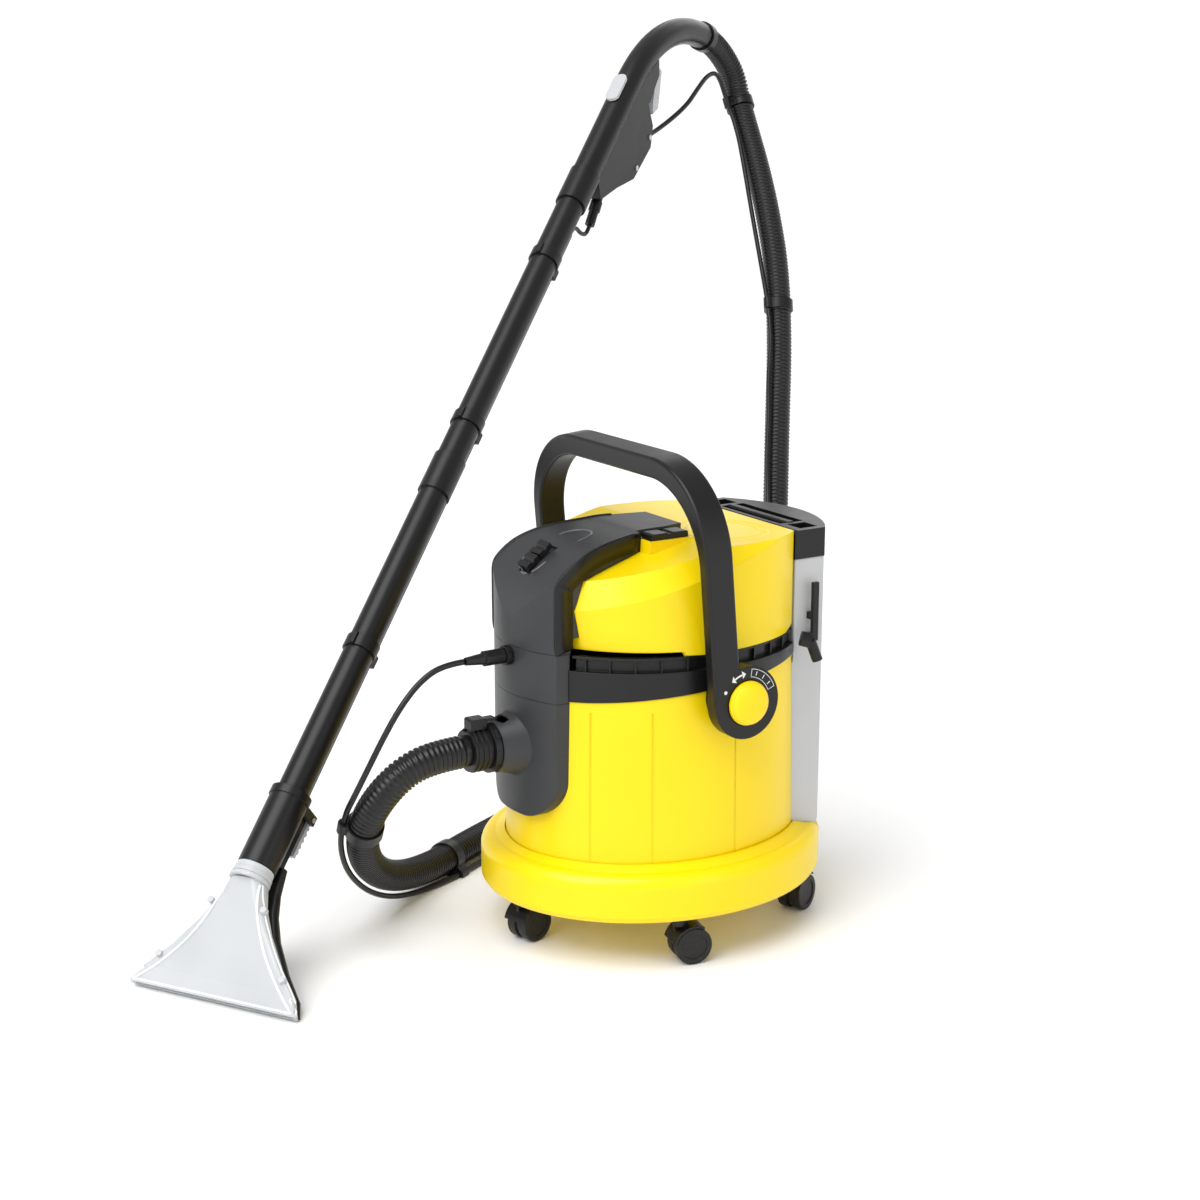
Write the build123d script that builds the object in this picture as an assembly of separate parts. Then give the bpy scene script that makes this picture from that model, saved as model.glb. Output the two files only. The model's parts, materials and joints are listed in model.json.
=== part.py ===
from build123d import *
import math
import os

# Spray-extraction carpet cleaner with its suction hose and floor wand.
# Millimetres. +Z is up, the front of the machine faces -Y, and the origin lies on the floor
# under the axis of the container.

# ---- driving dimensions -------------------------------------------------------------------
WALL = 3.0                     # moulded wall thickness
GAP = 0.4                      # clearance between pieces of different bodies
FIT = 0.15                     # radial clearance of a pin in its hole

BASE_X, BASE_Y = 188.0, 216.0  # half width and half length of the base skirt
BASE_BOTTOM, BASE_BAND, BASE_TOP = 62.0, 102.0, 124.0
DECK_Z = 72.0                  # underside of the deck that carries the container and casters

OVAL = 1.2                     # length over width of the container, band and lid
TUB_LOW_Y, TUB_HIGH_Y = 187.0, 182.0
SEAM_FRONT, SEAM_REAR = 313.0, 343.0   # container rim, rising towards the rear
BAND_Y = 184.5                 # smooth black band under the lid
VENT_Y = 176.0                 # recessed slot zone between band and lid
BAND_TOP, LID_BOTTOM = 352.0, 369.0
LID_Y = 181.0
LID_TOP = 488.0

PANEL_HALF = 73.0              # half width of the grey front panel
PANEL_Y = 198.0                # plan half length of its curved face
PANEL_BOTTOM, SEAM_LOW, SEAM_HIGH = 170.0, 313.0, 371.0
PANEL_TOP = 498.0
PORT_Z = 252.0                 # suction port height
SPRAY_Z = 359.0                # spray coupling height
PUMP_SPIGOT_Y = -172.0         # upright spigot that feeds the spray coupling

TANK_HALF = 105.0              # half width of the fresh water tank
TANK_BOTTOM, TANK_SHOULDER, TANK_TOP, CAP_TOP = 103.0, 328.0, 452.0, 487.0
TANK_FRONT_LOW, TANK_FRONT_HIGH = 122.0, 133.0
TANK_Y = 213.0                 # plan half length of its outer face

PIVOT_Y, PIVOT_Z = 4.0, 318.0  # carrying bail pivot
BAIL_INNER, BAIL_OUTER = 174.0, 192.0
BAIL_RISE = 278.0              # outer top of the bail above its pivot
BAIL_DEPTH = 36.0
DISC_R = 43.0
KNOB_R = 26.0

CASTER_X, CASTER_Y = 158.0, 184.0
WHEEL_R = 22.5
WHEEL_W = 13.0
CASTER_TRAIL = 12.0

HOSE_D = 39.0                  # corrugated suction hose
SPRAY_D = 7.0                  # thin spray hose clipped to it
TUBE_D = 38.0                  # wand tubes
SOCKET_D = 43.0

WAND_TURN = 32.0               # lip direction in plan, from +X
WAND_LEAN = 41.4               # tube slope above the floor
LIP_X, LIP_Y = -28.0, -566.0   # middle of the nozzle lip on the floor
LIP_DROP = 38.0                # lip below the tube axis
NOZZLE_W = 228.0


# ---- helpers ------------------------------------------------------------------------------
def save(name, *shapes):
    """Write one node: its solids stay separate pieces of one file."""
    solids = []
    for shape in shapes:
        solids.extend(shape.solids())
    export_step(solids[0] if len(solids) == 1 else Compound(children=solids), f"parts/{name}.step")


def block(x0, x1, y0, y1, z0, z1):
    return Pos((x0 + x1) / 2, (y0 + y1) / 2, (z0 + z1) / 2) * Box(x1 - x0, y1 - y0, z1 - z0)


def rod(start, end, radius):
    """Round bar between two points."""
    a, b = Vector(*start), Vector(*end)
    plane = Plane(origin=a, z_dir=b - a)
    return extrude(plane * Circle(radius), (b - a).length)


def pipe(start, end, outer, inner):
    a, b = Vector(*start), Vector(*end)
    plane = Plane(origin=a, z_dir=b - a)
    return extrude(plane * (Circle(outer) - Circle(inner)), (b - a).length)


def oval_stack(rows, ruled=True):
    """Loft through ovals given as (half x, half y, z)."""
    return loft([Plane.XY.offset(z) * Ellipse(hx, hy) for hx, hy, z in rows], ruled=ruled)


def body_oval(y0, z0, y1, z1, inset=0.0):
    """Straight or tapered oval prism of the machine body."""
    return oval_stack([(y0 / OVAL - inset, y0 - inset, z0), (y1 / OVAL - inset, y1 - inset, z1)])


def tank_bay(grow=0.0):
    """Space at the rear kept free for the fresh water tank, grown by a wall."""
    low = block(-TANK_HALF - 3 - grow, TANK_HALF + 3 + grow, TANK_FRONT_LOW - 3 - grow, 260,
                TANK_BOTTOM - 1 - grow, TANK_SHOULDER + 6)
    high = block(-TANK_HALF - 3 - grow, TANK_HALF + 3 + grow, TANK_FRONT_HIGH - 3 - grow, 260,
                 TANK_SHOULDER - 10, 560)
    return low + high


def seam_plane(shift=0.0):
    """Sloping joint between the container and the head."""
    slope = math.degrees(math.atan((SEAM_REAR - SEAM_FRONT) / (2 * TUB_HIGH_Y)))
    middle = (SEAM_FRONT + SEAM_REAR) / 2 + shift
    return Plane(origin=(0, 0, middle), x_dir=(1, 0, 0),
                 z_dir=(0, -math.sin(math.radians(slope)), math.cos(math.radians(slope))))


def front_slab(z0, z1, half=PANEL_HALF, y1=0.0):
    return block(-half, half, -260, y1, z0, z1)


# ---- base and container -------------------------------------------------------------------
def skirt_profile(inset):
    """Half section of the base skirt at its longest place."""
    side = BASE_Y - inset
    top = BASE_TOP - inset
    with BuildSketch(Plane.XZ) as sketch:
        with BuildLine():
            Polyline((100, BASE_BOTTOM), (side - 4, BASE_BOTTOM), (side, BASE_BOTTOM + 6), (side, BASE_BAND))
            ThreePointArc((side, BASE_BAND), (side - 5.5, BASE_BAND + 12), (side - 18, top - 6))
            Polyline((side - 18, top - 6), (side - 30, top), (100, top), (100, BASE_BOTTOM))
        make_face()
    return sketch.sketch


def skirt_solid(inset):
    shape = revolve(skirt_profile(inset), Axis.Z) + Pos(0, 0, (BASE_BOTTOM + BASE_TOP - inset) / 2) * Cylinder(
        101, BASE_TOP - inset - BASE_BOTTOM)
    return scale(shape, by=((BASE_X - inset) / (BASE_Y - inset), 1, 1))


def caster_places():
    for k in range(5):
        angle = math.radians(72 * k)
        yield k + 1, CASTER_X * math.sin(angle), -CASTER_Y * math.cos(angle), 72.0 * k


def make_base_ring():
    ring = skirt_solid(0.0) - skirt_solid(WALL)
    ring -= body_oval(TUB_LOW_Y + 0.3, DECK_Z + 4, TUB_LOW_Y + 0.3, BASE_TOP + 1)
    deck = body_oval(201, DECK_Z, 201, DECK_Z + 4)
    deck += skirt_solid(0.5) & block(-230, 230, -230, 230, DECK_Z, DECK_Z + 4)
    ring += deck
    shelf = skirt_solid(0.5) & block(-TANK_HALF - 6, TANK_HALF + 6, TANK_FRONT_LOW + 20, 230,
                                     DECK_Z + 3, TANK_BOTTOM)
    bay = block(-TANK_HALF - 2, TANK_HALF + 2, TANK_FRONT_LOW - 3, 230, TANK_BOTTOM, BASE_TOP + 5)
    ring = ring + (shelf - body_oval(TUB_LOW_Y + 0.3, DECK_Z + 4, TUB_LOW_Y + 0.3, BASE_TOP + 1)) - bay
    for _, x, y, _ in caster_places():
        ring += Pos(x, y, DECK_Z - 5) * Cylinder(13, 10.0)
        ring -= Pos(x, y, DECK_Z - 6) * Cylinder(5.5, 14.0)
    for side in (-1, 1):
        mark = Pos(side * 160, 132, BASE_TOP - 3) * Cylinder(15, 10)
        ring -= mark - Pos(side * 160, 132, BASE_TOP - 3) * Cylinder(13, 12)
    return ring


def make_container():
    outer = body_oval(TUB_LOW_Y, DECK_Z + 4, TUB_HIGH_Y, 350) - tank_bay()
    inner = body_oval(TUB_LOW_Y, DECK_Z + 4 + WALL, TUB_HIGH_Y, 352, WALL) - tank_bay(WALL)
    tub = outer - inner
    tub = split(tub, seam_plane(-0.2), keep=Keep.BOTTOM)
    # shallow upright grooves that stiffen the wall
    skin = body_oval(TUB_LOW_Y + 1, DECK_Z + 44, TUB_HIGH_Y + 1, 304)
    skin -= body_oval(TUB_LOW_Y, DECK_Z + 40, TUB_HIGH_Y, 350, 1.0)
    for angle in (-95, -62, -38, 38, 62, 95):
        a = math.radians(angle)
        x, y = TUB_LOW_Y / OVAL * math.sin(a), -TUB_LOW_Y * math.cos(a)
        square = math.degrees(math.atan2(OVAL * math.sin(a), math.cos(a)))
        tub -= skin & Pos(x, y, 216) * Rot(0, 0, square) * Box(2.0, 24, 190)
    tub -= Pos(0, -180, PORT_Z) * Rot(90, 0, 0) * Cylinder(24, 40)
    return tub


def panel_column(z0, z1, inset=0.0):
    """Upright part of the grey panel: a curved face between two straight sides."""
    face = PANEL_Y - inset
    half = PANEL_HALF - inset
    return oval_stack([(face / OVAL, face, z0), (face / OVAL, face, z1)]) & block(-half, half, -230, -100, z0, z1)


def panel_foot(inset=0.0):
    """Rounded lower end of the panel, seen from the front."""
    shape = Plane.XZ * Pos(0, PANEL_BOTTOM + 100) * RectangleRounded(
        2 * (PANEL_HALF - inset), 200 - 2 * inset, 48 - inset)
    return extrude(shape, 250)


def make_lower_panel():
    outer = panel_column(PANEL_BOTTOM, SEAM_LOW) & panel_foot()
    hollow = panel_column(PANEL_BOTTOM - 1, SEAM_LOW + 1, WALL) & panel_foot(WALL)
    cone = Pos(0, -PANEL_Y + 2, PORT_Z) * Rot(90, 0, 0) * Cone(48, 29, 52)
    throat = Pos(0, -PANEL_Y + 2, PORT_Z) * Rot(90, 0, 0) * Cone(45, 26, 52.5)
    panel = outer + cone
    panel -= hollow
    panel -= throat
    panel -= body_oval(TUB_LOW_Y + 0.2, DECK_Z, TUB_HIGH_Y + 0.2, 350)
    panel -= block(-12, 12, -230, -205, PORT_Z + 29, PORT_Z + 44)
    return panel


def make_middle_panel():
    outer = panel_column(SEAM_LOW + 0.3, SEAM_HIGH) & block(-80, 80, -230, -150, 300, 380)
    outer -= panel_column(SEAM_LOW - 1, SEAM_HIGH - WALL, WALL)
    tongue = panel_column(SEAM_LOW - 26, SEAM_LOW + 8, WALL + 0.2)
    tongue += panel_column(SEAM_LOW + 0.3, SEAM_LOW + 8, WALL - 1)
    tongue -= panel_column(SEAM_LOW - 30, SEAM_LOW + 10, 2 * WALL)
    outer += tongue & block(-52, 52, -230, -150, SEAM_LOW - 26, SEAM_LOW + 8)
    outer -= body_oval(TUB_LOW_Y, DECK_Z, TUB_HIGH_Y, 380)
    outer -= Pos(0, -200, SPRAY_Z) * Rot(90, 0, 0) * Cylinder(9.6, 60)
    return outer


# ---- suction port, hose cuff and spray coupling ------------------------------------------
def tube_y(y0, y1, outer, inner, z):
    """Hollow round piece along Y on the machine's middle plane."""
    return pipe((0, y0, z), (0, y1, z), outer, inner)


PORT_FACE = -232.0
CUFF_END = -256.0


def make_port():
    port = tube_y(-160, PORT_FACE + 4, 23.7, 20.8, PORT_Z)
    port += tube_y(PORT_FACE + 8, PORT_FACE, 30, 20.8, PORT_Z)
    port += tube_y(-188.2, -192, 27, 23, PORT_Z)
    for angle in (45, 135, 225, 315):
        port += Pos(0, PORT_FACE + 6, PORT_Z) * Rot(0, angle, 0) * Pos(30, 0, 0) * Box(3, 4, 12)
    return port


def make_hose_cuff():
    cuff = tube_y(PORT_FACE + 14, PORT_FACE - 2, 20.5, 17.5, PORT_Z)
    cuff += tube_y(PORT_FACE - GAP, CUFF_END, 25, 17.5, PORT_Z)
    for k in range(3):
        y = PORT_FACE - 5 - 6.5 * k
        cuff += tube_y(y, y - 2.6, 26.5, 24, PORT_Z)
    cuff -= block(-9, 9, CUFF_END - 1, PORT_FACE + 1, PORT_Z + 22, PORT_Z + 30)
    return cuff


def make_cuff_latch():
    key = block(-8.6, 8.6, CUFF_END + 2, PORT_FACE - 1, PORT_Z + 22 + 3, PORT_Z + 38)
    top = [e for e in key.edges().filter_by(Axis.X) if e.center().Z > PORT_Z + 37]
    key = fillet(top, 2.5)
    key += block(-6, 6, PORT_FACE - 3, PORT_FACE + 12, PORT_Z + 33, PORT_Z + 36)
    return key


def make_spray_socket():
    """Coupling in the middle panel, fed from above by the spigot of the pump."""
    socket = rod((0, -199.5, SPRAY_Z), (0, -206, SPRAY_Z), 11.8)
    socket += rod((0, PUMP_SPIGOT_Y, SPRAY_Z), (0, -200, SPRAY_Z), 9.4)
    socket += block(-8, 8, PUMP_SPIGOT_Y - 9, PUMP_SPIGOT_Y + 9, SPRAY_Z - 8, SEAM_HIGH - WALL - 0.4)
    socket -= rod((0, PUMP_SPIGOT_Y, SPRAY_Z), (0, -210, SPRAY_Z), 4.6)
    return socket - rod((0, PUMP_SPIGOT_Y, SPRAY_Z - 4), (0, PUMP_SPIGOT_Y, SEAM_HIGH + 4), 4.6)


def make_spray_plug():
    plug = tube_y(-190, -206.4, 4.4, 2.4, SPRAY_Z)
    plug += tube_y(-206.4, -232, 9.0, 2.4, SPRAY_Z)
    for k in range(14):
        plug -= Pos(0, -218, SPRAY_Z) * Rot(0, 360 / 14 * k, 0) * Pos(9.4, 0, 0) * Box(1.6, 16, 1.6)
    boot = Pos(0, -244, SPRAY_Z) * Rot(90, 0, 0) * Cone(7.0, 4.6, 24)
    return plug + boot


# ---- casters -------------------------------------------------------------------------------
CASTER_AIM = (15, -12, 25, -20, 8)     # each caster stands a little differently


def caster_frame(x, y, aim):
    return Pos(x, y, 0) * Rot(0, 0, aim)


def make_caster_housing(x, y, aim):
    frame = caster_frame(x, y, aim)
    axle = CASTER_TRAIL
    hood = Pos(0, axle, WHEEL_R) * Rot(0, 90, 0) * (Cylinder(WHEEL_R + 3.6, 34) - Cylinder(WHEEL_R + 1.0, 40))
    hood &= block(-20, 20, axle - 27, axle + 12, WHEEL_R + 6, 60)
    web = Pos(0, axle, WHEEL_R) * Rot(0, 90, 0) * Cylinder(WHEEL_R - 2.5, 4.4)
    web += block(-2.2, 2.2, axle - 20, axle + 10, WHEEL_R, WHEEL_R + 24)
    web -= Pos(0, axle, WHEEL_R) * Rot(0, 90, 0) * Cylinder(3 + FIT, 10)
    neck = Pos(0, 0, 51.5) * Cylinder(10, 9.6)
    stem = Pos(0, 0, 62.5) * Cylinder(5.4, 20)
    return frame * (hood + web + neck + stem)


def make_caster_wheels(x, y, aim):
    frame = caster_frame(x, y, aim)
    pieces = []
    for side in (-1, 1):
        middle = side * (WHEEL_W / 2 + 2.8)
        wheel = Pos(middle, CASTER_TRAIL, WHEEL_R) * Rot(0, 90, 0) * Cylinder(WHEEL_R, WHEEL_W)
        wheel = fillet(wheel.edges().filter_by(GeomType.CIRCLE), 2.0)
        hub = Pos(side * (WHEEL_W + 2.8), CASTER_TRAIL, WHEEL_R) * Rot(0, 90, 0) * Cylinder(15.5, 2.4)
        wheel -= hub
        wheel -= Pos(0, CASTER_TRAIL, WHEEL_R) * Rot(0, 90, 0) * Cylinder(3, 60)
        pieces.append(frame * wheel)
    axle = Pos(0, CASTER_TRAIL, WHEEL_R) * Rot(0, 90, 0) * Cylinder(3, 2 * WHEEL_W + 3)
    pieces.append(frame * axle)
    return pieces


# ---- head ----------------------------------------------------------------------------------
def make_head_ring():
    band = body_oval(BAND_Y, 300, BAND_Y, BAND_TOP) - body_oval(BAND_Y - 6.5, 299, BAND_Y - 6.5, BAND_TOP + 1)
    band = split(band - tank_bay(), seam_plane(0.3), keep=Keep.TOP)
    vent = body_oval(VENT_Y, BAND_TOP - 3, VENT_Y, LID_BOTTOM) - body_oval(VENT_Y - 4, 340, VENT_Y - 4, 372)
    shelf = body_oval(BAND_Y - 3, BAND_TOP - 3, BAND_Y - 3, BAND_TOP) - body_oval(VENT_Y - 4, 340, VENT_Y - 4, 372)
    flange = body_oval(LID_Y - 0.5, LID_BOTTOM - 3, LID_Y - 0.5, LID_BOTTOM)
    flange -= body_oval(VENT_Y - 4, 340, VENT_Y - 4, 372)
    ledge = body_oval(BAND_Y - 4, 345, BAND_Y - 4, 348) - body_oval(VENT_Y - 12, 340, VENT_Y - 12, 372)
    ring = band + vent + shelf + flange + ledge
    rear = block(-TANK_HALF - 6, TANK_HALF + 6, TANK_FRONT_HIGH - 6, TANK_FRONT_HIGH - 3, SEAM_REAR + 3, LID_BOTTOM)
    ring = (ring - tank_bay()) + (rear & body_oval(VENT_Y, 300, VENT_Y, 400))
    for k in range(36):
        angle = 10.0 * k + 5
        a = math.radians(angle)
        x, y = (VENT_Y / OVAL + 1.2) * math.sin(a), -(VENT_Y + 1.2) * math.cos(a)
        if abs(x) > PANEL_HALF + 3 and y < 116:
            ring += Pos(x, y, 359) * Rot(0, 0, angle) * Box(2.2, 6, 15)
    ring -= front_slab(290, 372, PANEL_HALF + GAP, -60)
    for side in (-1, 1):
        hub = rod((side * 153.3, PIVOT_Y, PIVOT_Z), (side * (BAIL_INNER - GAP), PIVOT_Y, PIVOT_Z), 31)
        hub += block(min(side * 150, side * 156), max(side * 150, side * 156), PIVOT_Y - 20, PIVOT_Y + 20, 332, 346)
        axle = rod((side * 160, PIVOT_Y, PIVOT_Z), (side * BAIL_OUTER, PIVOT_Y, PIVOT_Z), 12)
        ring += hub + axle
    return ring


def lid_form(inset=0.0):
    """Outer form of the lid: oval wall, tilted shoulder and a top that slopes to the front."""
    wall = body_oval(LID_Y - inset, LID_BOTTOM, LID_Y - inset, LID_TOP + 20)
    tilt = Plane(origin=(0, 0, 463), x_dir=(1, 0, 0),
                 z_dir=(0, -math.sin(math.radians(15.5)), math.cos(math.radians(15.5))))
    rows = []
    for depth, grow in ((-120, 6.0), (0, 1.0), (75, -50.0)):
        plane = tilt.offset(depth - inset)
        rows.append(plane * Ellipse(LID_Y / OVAL + grow - inset, LID_Y + grow - inset))
    shoulder = loft(rows, ruled=True)
    with BuildSketch(Plane.YZ) as sketch:
        with BuildLine():
            Polyline((-230, LID_BOTTOM - 5), (-230, 434 - inset), (-160, 449 - inset), (10, LID_TOP - inset),
                     (230, LID_TOP - inset), (230, LID_BOTTOM - 5), close=True)
        make_face()
    return wall & shoulder & extrude(sketch.sketch, 200, both=True)


def make_lid():
    shell = lid_form() - tank_bay()
    shell -= (lid_form(WALL) + body_oval(LID_Y - WALL, LID_BOTTOM - 5, LID_Y - WALL, LID_BOTTOM + 5)) - tank_bay(WALL)
    pedestal = block(44, 74, -52, 8, 470, 489)
    shell += pedestal
    shell -= block(47, 71, -49, 5, 474, 500)
    shell -= front_slab(LID_BOTTOM - 6, 395, PANEL_HALF - 12, -120)
    return shell


def make_top_panel():
    with BuildSketch(Plane.YZ) as sketch:
        with BuildLine():
            Polyline((14, 300), (-208, 300), (-208, 396), (-199, 396))
            Spline((-199, 396), (-192, 430), (-176, 456), (-150, 476), (-114, 489), (-60, 496), (-10, 498),
                   tangents=[(0, 1), (1, 0)])
            Polyline((-10, 498), (14, 498), (14, 300))
        make_face()
    bar = extrude(sketch.sketch, 100, both=True)
    plan = Polyline((PANEL_HALF, -230), (PANEL_HALF, -150), (38, 15), (-38, 15), (-PANEL_HALF, -150),
                    (-PANEL_HALF, -230), close=True)
    column = extrude(Plane.XY.offset(SEAM_HIGH + 0.4) * make_face(plan), 150)
    face = oval_stack([(PANEL_Y / OVAL, PANEL_Y, 340), (PANEL_Y / OVAL, PANEL_Y, 520)])
    panel = (bar & column) & face
    panel -= lid_form(-0.2)
    panel -= body_oval(LID_Y + 0.2, 340, LID_Y + 0.2, LID_BOTTOM + 20)
    panel -= block(44 - 0.3, 76, -53, 9, 460, 520)
    panel -= SWITCH_SEAT * Box(26, 46, 16)
    return panel


SWITCH_SEAT = Pos(0, -160, 470) * Rot(38, 0, 0)


def make_rocker(middle):
    """One rocker key of the pair on the slope, wedge shaped, with its pin."""
    key = Pos(0, 0, 1) * Box(22, 19, 7)
    key -= Pos(0, 0, 5.5) * Rot(0, 90, 0) * Cylinder(3, 30) & Pos(0, 0, 3.5) * Box(30, 8, 3)
    key += Rot(0, 90, 0) * Cylinder(2, 22)
    return SWITCH_SEAT * Pos(0, middle, 3) * key


def make_main_switch():
    key = Pos(59, -22, 492) * Box(22, 50, 9)
    top = [e for e in key.edges().filter_by(Axis.X) if e.center().Z > 495]
    key = fillet(top, 3)
    key -= Pos(59, -22, 500.4) * Rot(0, 90, 0) * Cylinder(6, 30)
    return key


MOTOR_Y = 10.0


def make_motor_housing():
    plate = body_oval(VENT_Y - 5, 348, VENT_Y - 5, 351) - tank_bay(4)
    plate -= front_slab(340, 360, PANEL_HALF - 8, -140)
    bell = Pos(0, MOTOR_Y, 362) * (Cylinder(62, 24) - Pos(0, 0, -2) * Cylinder(58.5, 22))
    bell -= Pos(0, MOTOR_Y, 372) * Cylinder(9, 10)
    return plate + bell - Pos(0, MOTOR_Y, 348) * Cylinder(26, 10)


def make_motor():
    can = Pos(0, MOTOR_Y, 410) * Cylinder(52, 71)
    can += Pos(0, MOTOR_Y, 450) * Cylinder(30, 14)
    can -= Pos(0, MOTOR_Y, 385) * Cylinder(4 + FIT, 30)
    return can


def make_impeller():
    disc = Pos(0, MOTOR_Y, 355) * Cylinder(54, 2)
    cover = Pos(0, MOTOR_Y, 366) * (Cylinder(54, 2) - Cylinder(24, 4))
    wheel = disc + Pos(0, MOTOR_Y, 377) * Cylinder(4, 44)
    for k in range(8):
        wheel += Pos(0, MOTOR_Y, 360.5) * Rot(0, 0, 45 * k) * Pos(36, 0, 0) * Rot(0, 0, 25) * Box(34, 1.6, 10)
    return wheel + cover


def make_float_cage():
    cage = Pos(0, MOTOR_Y, 300) * (Cylinder(36, 95.6) - Pos(0, 0, 3) * Cylinder(33.5, 96))
    for k in range(8):
        cage -= Pos(0, MOTOR_Y, 296) * Rot(0, 0, 45 * k) * Pos(35, 0, 0) * Box(12, 11, 60)
    return cage


def make_float():
    ball = Pos(0, MOTOR_Y, 270) * Cylinder(29, 20)
    return fillet(ball.edges().filter_by(GeomType.CIRCLE), 5)


def make_spray_pump():
    body = Pos(0, -100, 395) * Rot(0, 90, 0) * Cylinder(22, 74)
    body += block(-24, 24, -122, -78, 372, 396)
    body += rod((0, -118, 384), (0, PUMP_SPIGOT_Y, 384), 5)
    body += rod((0, PUMP_SPIGOT_Y, 389), (0, PUMP_SPIGOT_Y, SPRAY_Z + 1), 4.2)
    body += block(-20, 20, -118, -82, 351.4, 374)
    return body


# ---- carrying bail --------------------------------------------------------------------------
BAIL_LEAN = 5.0


def bail_outline(half, top, radius):
    return Pos(0, top - 250) * RectangleRounded(2 * half, 500, radius)


def make_bail():
    outer = Plane.XZ * bail_outline(BAIL_OUTER, BAIL_RISE, 105)
    inner = Plane.XZ * bail_outline(BAIL_INNER, BAIL_RISE - 25, 90)
    arch = extrude(outer, BAIL_DEPTH) - extrude(inner, BAIL_DEPTH)
    arch = Pos(0, BAIL_DEPTH - DISC_R, 0) * arch
    arch &= block(-200, 200, -80, 80, 0, 400)
    rim = [e for e in arch.edges().filter_by(GeomType.LINE, reverse=True)]
    arch = fillet(rim, 4)
    for side in (-1, 1):
        arch += rod((side * BAIL_INNER, 0, 0), (side * BAIL_OUTER, 0, 0), DISC_R)
        arch -= rod((side * (BAIL_INNER - 5), 0, 0), (side * (BAIL_OUTER + 5), 0, 0), 12 + FIT)
        arch -= rod((side * (BAIL_OUTER - 3), 0, 0), (side * (BAIL_OUTER + 5), 0, 0), KNOB_R + 1)
    return Pos(0, PIVOT_Y, PIVOT_Z) * Rot(BAIL_LEAN, 0, 0) * arch


def make_knobs():
    knobs = []
    for side in (-1, 1):
        x = side * (BAIL_OUTER + GAP)
        knob = rod((x, PIVOT_Y, PIVOT_Z), (x + side * 6, PIVOT_Y, PIVOT_Z), KNOB_R)
        outer = knob.faces().sort_by(Axis.X)[-1 if side > 0 else 0]
        knobs.append(fillet(outer.edges(), 4))
    return knobs


# ---- fresh water tank -----------------------------------------------------------------------
def tank_form(inset=0.0):
    """Tank: wide below, set back above a sloping shoulder, with a wedge-shaped foot."""
    half = TANK_HALF - inset
    with BuildSketch(Plane.YZ) as sketch:
        with BuildLine():
            Polyline((TANK_FRONT_LOW + inset, 127 + inset), (TANK_FRONT_LOW + 24, TANK_BOTTOM + GAP + inset),
                     (160, TANK_BOTTOM + GAP + inset), (200, 146 + inset), (240, 190 + inset), (240, TANK_TOP),
                     (TANK_FRONT_HIGH + inset, TANK_TOP), (TANK_FRONT_HIGH + inset, TANK_SHOULDER),
                     (TANK_FRONT_LOW + inset, TANK_SHOULDER - 14), close=True)
        make_face()
    side = extrude(sketch.sketch, half, both=True)
    return side & oval_stack([((BASE_X - 2) - inset, TANK_Y - inset, 90), ((BASE_X - 2) - inset, TANK_Y - inset, 470)])


def make_tank():
    shell = tank_form() - (tank_form(2.5) & block(-200, 200, 0, 300, 90, TANK_TOP + 1))
    return shell - block(-96, 96, TANK_FRONT_HIGH + 6, 168, TANK_TOP - 4, TANK_TOP + 5)


def cap_form(inset, z0, z1):
    shape = block(-TANK_HALF - 1 + inset, TANK_HALF + 1 - inset, TANK_FRONT_HIGH - 1 + inset, 260, z0, z1)
    oval = (BASE_X - 1.5 - inset, TANK_Y + 1 - inset)
    return shape & oval_stack([(*oval, z0), (*oval, z1)])


def make_tank_cap():
    cap = cap_form(0, TANK_TOP + 0.2, CAP_TOP)
    side = Polyline((100, TANK_TOP), (TANK_FRONT_HIGH - 2, CAP_TOP - 5), (TANK_FRONT_HIGH + 3, CAP_TOP),
                    (199, CAP_TOP), (210, CAP_TOP - 5), (214, CAP_TOP - 15), (240, TANK_TOP), close=True)
    cap &= extrude(Plane.YZ * make_face(side), 150, both=True)
    cap -= cap_form(3, TANK_TOP - 1, CAP_TOP - 18)
    cap -= block(-62, 62, 142, 176, CAP_TOP - 16, CAP_TOP + 5)
    for side in (-1, 1):
        cap -= block(min(side * 70, side * 96), max(side * 70, side * 96), 146, 172, CAP_TOP - 8, CAP_TOP + 5)
    return cap


def make_tank_grip():
    return fillet(block(-62, 62, 152, 164, CAP_TOP - 7, CAP_TOP + 1).edges().filter_by(Axis.X), 3)


def make_intake_tube():
    return pipe((70, 158, 114), (70, 158, CAP_TOP - 18), 4, 2.5)


def make_cable_hook():
    hook = block(TANK_HALF, TANK_HALF + 12, 152, 160, 352, 360)
    hook += block(TANK_HALF + 8, TANK_HALF + 13, 152, 160, 352, 424)
    hook += block(TANK_HALF, TANK_HALF + 12, 152, 160, 378, 386)
    return hook


def make_cable_gland():
    gland = rod((126, 128, 361), (132, 138, 358), 9)
    gland += rod((132, 138, 358), (136, 146, 334), 6.5)
    return gland - rod((134, 142, 346), (137, 148, 328), 3.6)


# ---- wand ----------------------------------------------------------------------------------
# Wand frame: z runs up the tube axis from the nozzle lip, y is its upper face, x its width.
TURN = math.radians(WAND_TURN)
LEAN = math.radians(WAND_LEAN)
ACROSS = Vector(math.cos(TURN), math.sin(TURN), 0)
AWAY = Vector(-math.sin(TURN), math.cos(TURN), 0)
UP = Vector(0, 0, 1)
AXIS = AWAY * math.cos(LEAN) + UP * math.sin(LEAN)
UPPER = AWAY * -math.sin(LEAN) + UP * math.cos(LEAN)
WAND = Plane(origin=Vector(LIP_X, LIP_Y, 0) + UPPER * LIP_DROP, x_dir=ACROSS * -1, z_dir=AXIS).location

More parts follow.
